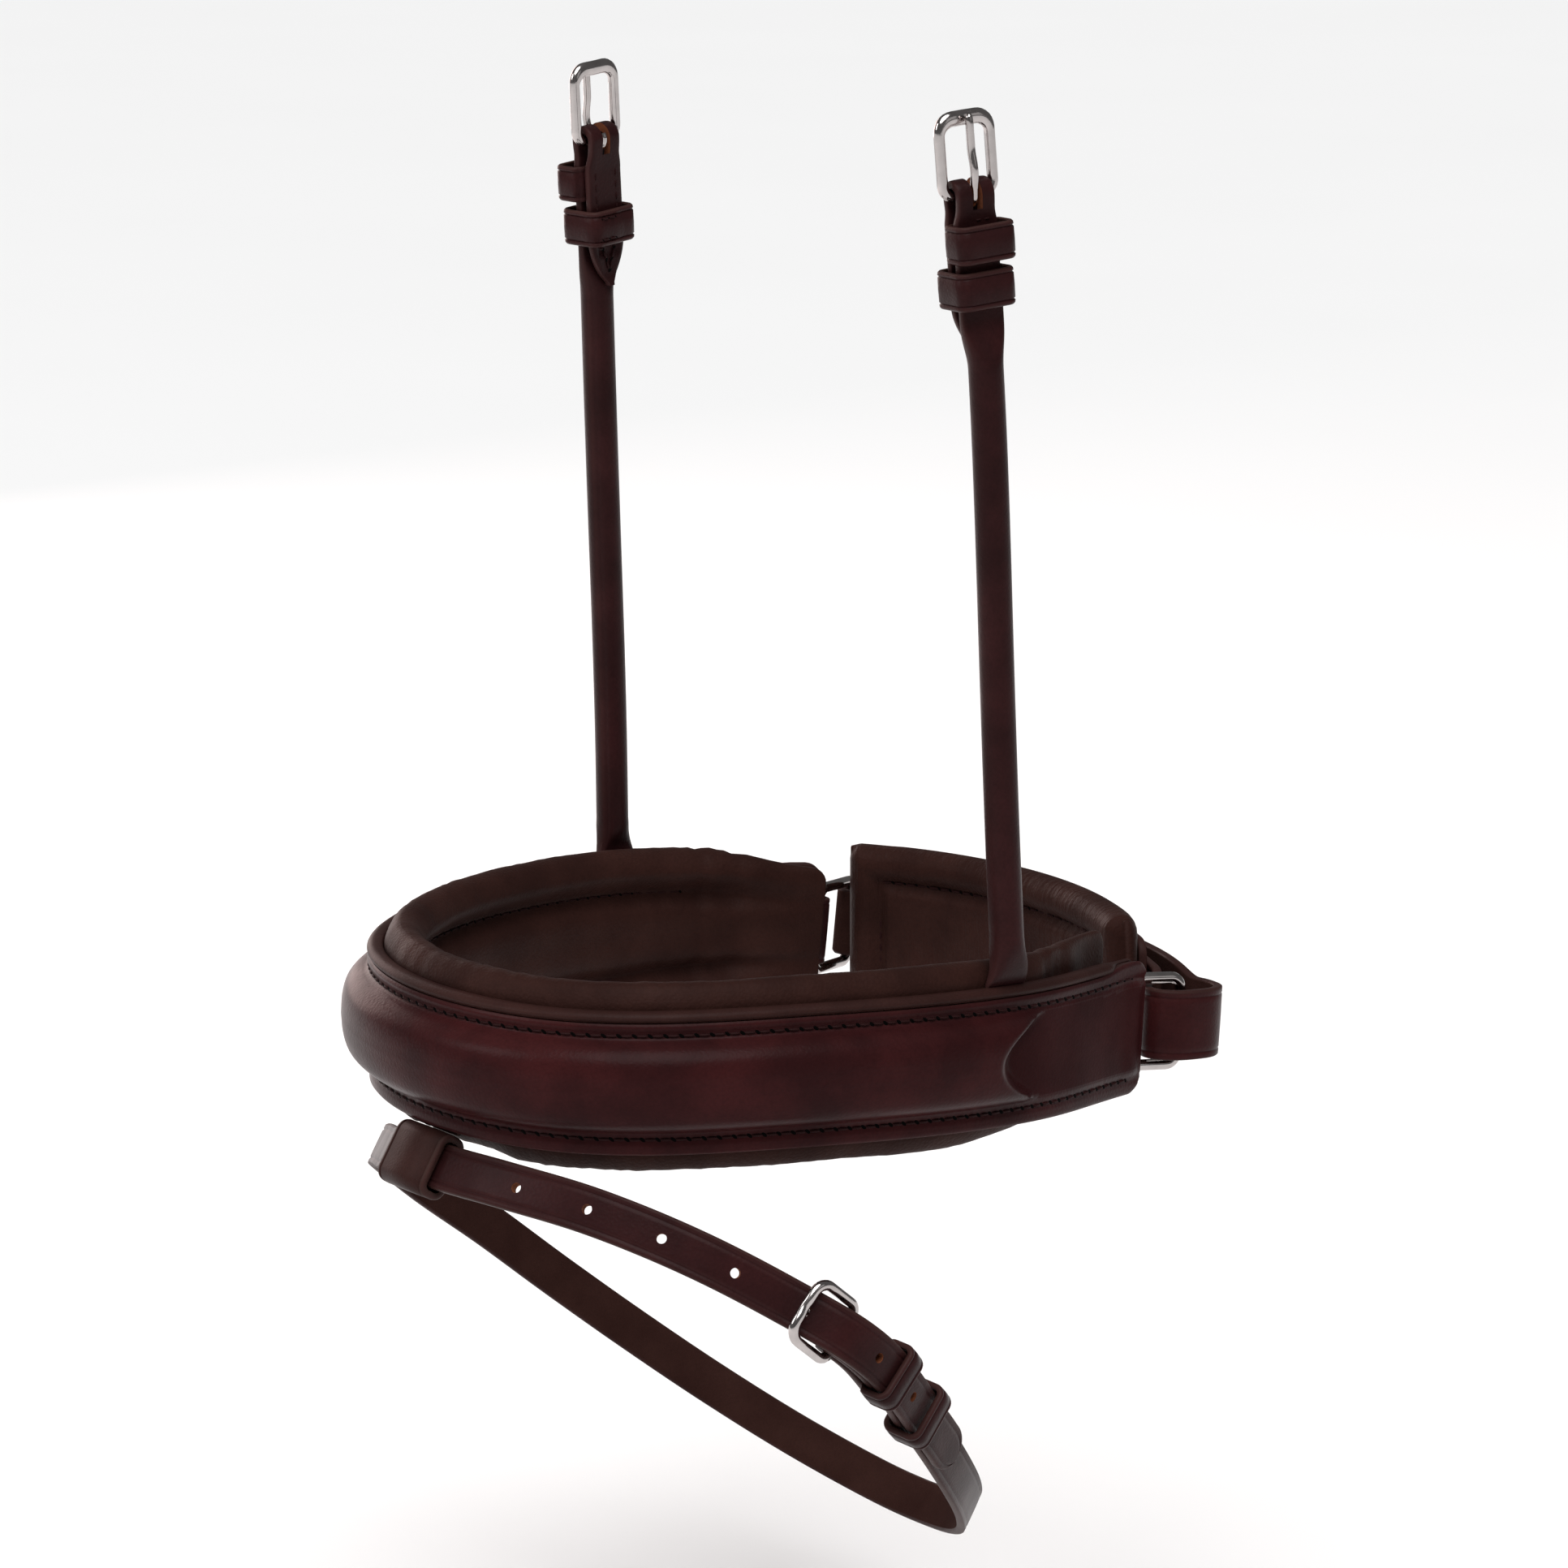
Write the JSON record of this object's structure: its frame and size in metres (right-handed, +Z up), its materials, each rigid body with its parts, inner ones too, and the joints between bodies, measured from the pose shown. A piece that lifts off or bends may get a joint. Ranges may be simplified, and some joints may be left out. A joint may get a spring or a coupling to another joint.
{
  "type": "crank noseband",
  "caption": "Padded raised leather noseband with a crank chin strap, two rolled hangers with buckles, and a flash strap in a loop.",
  "frame": {"origin": "centre of the muzzle opening, halfway up the nose band", "axes": "+X to the wearer's left side (the near side in the picture), +Y from the nose towards the jaw, +Z up along the cheeks to the buckles"},
  "size_m": [0.214, 0.2558, 0.43],
  "materials": {
    "outer_leather": "polished",
    "strap_leather": "smooth",
    "lining_leather": "matte",
    "backing_leather": "matte",
    "filler": "matte",
    "stainless": "polished"
  },
  "bodies": {
    "band": {"nose_leather": "outer_leather", "nose_raise": "filler", "nose_backing": "backing_leather", "nose_pad": "lining_leather", "ring_tab_left": "strap_leather", "ring_tab_right": "strap_leather", "hanger_strap_left": "strap_leather", "hanger_strap_right": "strap_leather", "hanger_fixed_keeper_left": "strap_leather", "hanger_fixed_keeper_right": "strap_leather", "flash_tab": "strap_leather"},
    "ring_right": {"ring_right": "stainless"},
    "ring_left": {"ring_left": "stainless"},
    "chin": {"chin_pad": "lining_leather", "chin_leather": "outer_leather", "crank_strap": "strap_leather", "crank_chape": "strap_leather", "crank_fixed_keeper": "strap_leather"},
    "crank_buckle": {"crank_buckle_frame": "stainless"},
    "crank_tongue": {"crank_tongue": "stainless"},
    "crank_runner": {"crank_runner": "strap_leather"},
    "flash": {"flash_loop": "strap_leather", "flash_strap": "strap_leather", "flash_fixed_keeper": "strap_leather"},
    "flash_buckle": {"flash_buckle_frame": "stainless"},
    "flash_tongue": {"flash_tongue": "stainless"},
    "flash_runner": {"flash_runner": "strap_leather"},
    "hanger_buckle_left": {"hanger_buckle_left": "stainless"},
    "hanger_tongue_left": {"hanger_tongue_left": "stainless"},
    "hanger_runner_left": {"hanger_runner_left": "strap_leather"},
    "hanger_buckle_right": {"hanger_buckle_right": "stainless"},
    "hanger_tongue_right": {"hanger_tongue_right": "stainless"},
    "hanger_runner_right": {"hanger_runner_right": "strap_leather"}
  },
  "joints": [
    {"name": "crank_swing", "type": "hinge", "parent": "band", "child": "ring_right", "pos_m": [-0.06522, 0.07551, -0.01088], "axis": [0.0262, 0.0905, 0.9955], "range_deg": [-9, 5]},
    {"name": "chin_pivot", "type": "hinge", "parent": "ring_right", "child": "chin", "pos_m": [-0.07219, 0.09473, -0.01244], "axis": [0.0262, 0.0905, 0.9955], "range_deg": [-4.55, 8.19]},
    {"name": "left_ring_pivot", "type": "hinge", "parent": "band", "child": "ring_left", "pos_m": [0.06522, 0.07551, -0.01088], "axis": [-0.0262, 0.0905, 0.9955], "range_deg": [-8.82, 4.9]},
    {"name": "crank_buckle_pivot", "type": "hinge", "parent": "chin", "child": "crank_buckle", "pos_m": [-0.00446, 0.12399, -0.0118], "axis": [0, 0, 1], "range_deg": [0, 5]},
    {"name": "crank_tongue_pivot", "type": "hinge", "parent": "crank_buckle", "child": "crank_tongue", "pos_m": [-0.00446, 0.12399, -0.0118], "axis": [0, 0, 1], "range_deg": [0, 4]},
    {"name": "crank_runner_slide", "type": "slide", "parent": "chin", "child": "crank_runner", "axis": [-0.961, -0.2765, 0], "range_m": [-0.005, 0.001]},
    {"name": "flash_swing", "type": "hinge", "parent": "band", "child": "flash", "pos_m": [0, -0.1113, -0.0212], "axis": [1, 0, 0], "range_deg": [-12, 20]},
    {"name": "flash_buckle_pivot", "type": "hinge", "parent": "flash", "child": "flash_buckle", "pos_m": [0.09942, -0.05313, -0.06546], "axis": [0.0303, 0.6429, 0.7654], "range_deg": [0, 25]},
    {"name": "flash_tongue_pivot", "type": "hinge", "parent": "flash", "child": "flash_tongue", "pos_m": [0.09942, -0.05313, -0.06546], "axis": [0.0303, 0.6429, 0.7654], "range_deg": [-40, 0]},
    {"name": "flash_runner_slide", "type": "slide", "parent": "flash", "child": "flash_runner", "axis": [-0.2899, 0.6919, -0.6612], "range_m": [-0.004, 0.006]},
    {"name": "left_buckle_pivot", "type": "hinge", "parent": "band", "child": "hanger_buckle_left", "pos_m": [0.07958, 0.00623, 0.22952], "axis": [0.1388, 0.9873, 0.0775], "range_deg": [-80, 45]},
    {"name": "left_tongue_pivot", "type": "hinge", "parent": "hanger_buckle_left", "child": "hanger_tongue_left", "pos_m": [0.07958, 0.00623, 0.22952], "axis": [0.1388, 0.9873, 0.0775], "range_deg": [0, 35]},
    {"name": "left_runner_slide", "type": "slide", "parent": "band", "child": "hanger_runner_left", "axis": [-0.0331, -0.0756, 0.9966], "range_m": [-0.007, 0.0015]},
    {"name": "right_buckle_pivot", "type": "hinge", "parent": "band", "child": "hanger_buckle_right", "pos_m": [-0.07958, 0.00623, 0.22952], "axis": [0.1388, -0.9873, -0.0775], "range_deg": [-80, 45]},
    {"name": "right_tongue_pivot", "type": "hinge", "parent": "hanger_buckle_right", "child": "hanger_tongue_right", "pos_m": [-0.07958, 0.00623, 0.22952], "axis": [0.1388, -0.9873, -0.0775], "range_deg": [0, 35]},
    {"name": "right_runner_slide", "type": "slide", "parent": "band", "child": "hanger_runner_right", "axis": [0.0331, -0.0756, 0.9966], "range_m": [-0.007, 0.0015]}
  ],
  "couplings": [
    {"joint": "chin_pivot", "follows": "crank_swing", "ratio": -0.91},
    {"joint": "left_ring_pivot", "follows": "crank_swing", "ratio": 0.98}
  ]
}
